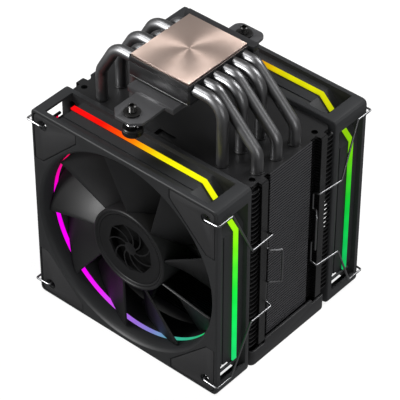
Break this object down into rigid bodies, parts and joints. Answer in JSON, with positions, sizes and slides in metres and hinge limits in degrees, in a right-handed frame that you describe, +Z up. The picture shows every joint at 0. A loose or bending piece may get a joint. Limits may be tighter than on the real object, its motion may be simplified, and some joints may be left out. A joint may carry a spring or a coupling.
{
  "type": "cpu tower cooler",
  "caption": "Tower heat sink for a processor with bent heat pipes through a fin stack and a lit fan on each side.",
  "frame": {"origin": "middle of the cooler's footprint, on the surface that the top cover and the fans rest on", "axes": "+Z up, from the top cover to the cold plate; Y along both fans' axis, the intake fan at -Y; X across the fans"},
  "size_m": [0.132, 0.1164, 0.158],
  "materials": {
    "frame_plastic": "moulded black plastic, fine grain",
    "blade_plastic": "moulded black plastic, satin",
    "pad_rubber": "matt black rubber",
    "light_diffuser": "translucent diffuser, lit in rainbow colours",
    "badge": "gloss black disc with a plain fan pattern",
    "magnet": "bonded magnet",
    "shaft_steel": "ground steel",
    "bearing_bronze": "sintered bronze",
    "stator_iron": "laminated iron with windings",
    "board": "green circuit board",
    "fin_coating": "thin fins with a black coating",
    "cover_plastic": "moulded black plastic",
    "copper": "copper turned in fine rings",
    "block_black": "black anodised",
    "pipe_nickel": "black nickel plate, glossy",
    "bracket_black": "black powder coat",
    "screw_black": "black oxide",
    "spring_steel": "bright spring steel",
    "clip_steel": "bright spring wire"
  },
  "bodies": {
    "tower": {"cold_plate": "copper", "base_block": "block_black", "heat_pipe_1": "pipe_nickel", "heat_pipe_2": "pipe_nickel", "heat_pipe_3": "pipe_nickel", "heat_pipe_4": "pipe_nickel", "heat_pipe_5": "pipe_nickel", "heat_pipe_6": "pipe_nickel", "fin_stack": "fin_coating", "top_cover": "cover_plastic", "front_bracket": "bracket_black", "front_bracket_screw_1": "screw_black", "front_bracket_screw_2": "screw_black", "front_spring": "spring_steel", "front_fan_frame": "frame_plastic", "front_corner_pad_1": "pad_rubber", "front_corner_pad_2": "pad_rubber", "front_corner_pad_3": "pad_rubber", "front_corner_pad_4": "pad_rubber", "front_light_bar_top": "light_diffuser", "front_light_bar_right": "light_diffuser", "front_light_bar_bottom": "light_diffuser", "front_light_bar_left": "light_diffuser", "front_light_ring": "light_diffuser", "front_bearing": "bearing_bronze", "front_stator": "stator_iron", "front_circuit_board": "board", "rear_bracket": "bracket_black", "rear_bracket_screw_1": "screw_black", "rear_bracket_screw_2": "screw_black", "rear_spring": "spring_steel", "rear_fan_frame": "frame_plastic", "rear_corner_pad_1": "pad_rubber", "rear_corner_pad_2": "pad_rubber", "rear_corner_pad_3": "pad_rubber", "rear_corner_pad_4": "pad_rubber", "rear_light_bar_top": "light_diffuser", "rear_light_bar_right": "light_diffuser", "rear_light_bar_bottom": "light_diffuser", "rear_light_bar_left": "light_diffuser", "rear_light_ring": "light_diffuser", "rear_bearing": "bearing_bronze", "rear_stator": "stator_iron", "rear_circuit_board": "board"},
    "front_fan_rotor": {"front_rotor": "blade_plastic", "front_hub_badge": "badge", "front_magnet_ring": "magnet", "front_shaft": "shaft_steel"},
    "front_screw_ring": {"front_retaining_ring": "screw_black"},
    "front_screw": {"front_mount_screw": "screw_black"},
    "front_clip_left": {"front_wire_clip_left": "clip_steel"},
    "front_clip_right": {"front_wire_clip_right": "clip_steel"},
    "rear_fan_rotor": {"rear_rotor": "blade_plastic", "rear_hub_badge": "badge", "rear_magnet_ring": "magnet", "rear_shaft": "shaft_steel"},
    "rear_screw_ring": {"rear_retaining_ring": "screw_black"},
    "rear_screw": {"rear_mount_screw": "screw_black"},
    "rear_clip_left": {"rear_wire_clip_left": "clip_steel"},
    "rear_clip_right": {"rear_wire_clip_right": "clip_steel"}
  },
  "joints": [
    {"name": "front_fan_spin", "type": "hinge", "parent": "tower", "child": "front_fan_rotor", "pos_m": [0, -0.0565, 0.06], "axis": [0, -1, 0], "continuous": true},
    {"name": "rear_fan_spin", "type": "hinge", "parent": "tower", "child": "rear_fan_rotor", "pos_m": [0, 0.0315, 0.06], "axis": [0, -1, 0], "continuous": true},
    {"name": "front_screw_press", "type": "slide", "parent": "tower", "child": "front_screw_ring", "axis": [0, 0, 1], "range_m": [0, 0.002], "stiffness_N_per_m": 1200, "springref_m": -0.002, "deforming": ["front_spring"]},
    {"name": "front_screw_turn", "type": "hinge", "parent": "front_screw_ring", "child": "front_screw", "pos_m": [0, -0.0482, 0.13], "axis": [0, 0, 1], "continuous": true},
    {"name": "rear_screw_press", "type": "slide", "parent": "tower", "child": "rear_screw_ring", "axis": [0, 0, 1], "range_m": [0, 0.002], "stiffness_N_per_m": 1200, "springref_m": -0.002, "deforming": ["rear_spring"]},
    {"name": "rear_screw_turn", "type": "hinge", "parent": "rear_screw_ring", "child": "rear_screw", "pos_m": [0, 0.0332, 0.13], "axis": [0, 0, 1], "continuous": true},
    {"name": "front_clip_left_swing", "type": "hinge", "parent": "tower", "child": "front_clip_left", "pos_m": [-0.0525, -0.0573, 0.0605], "axis": [0, 0, 1], "range_deg": [0, 15]},
    {"name": "front_clip_right_swing", "type": "hinge", "parent": "tower", "child": "front_clip_right", "pos_m": [0.0525, -0.0573, 0.0605], "axis": [0, 0, -1], "range_deg": [0, 15]},
    {"name": "rear_clip_left_swing", "type": "hinge", "parent": "tower", "child": "rear_clip_left", "pos_m": [-0.0525, 0.0573, 0.0605], "axis": [0, 0, -1], "range_deg": [0, 15]},
    {"name": "rear_clip_right_swing", "type": "hinge", "parent": "tower", "child": "rear_clip_right", "pos_m": [0.0525, 0.0573, 0.0605], "axis": [0, 0, 1], "range_deg": [0, 15]}
  ]
}
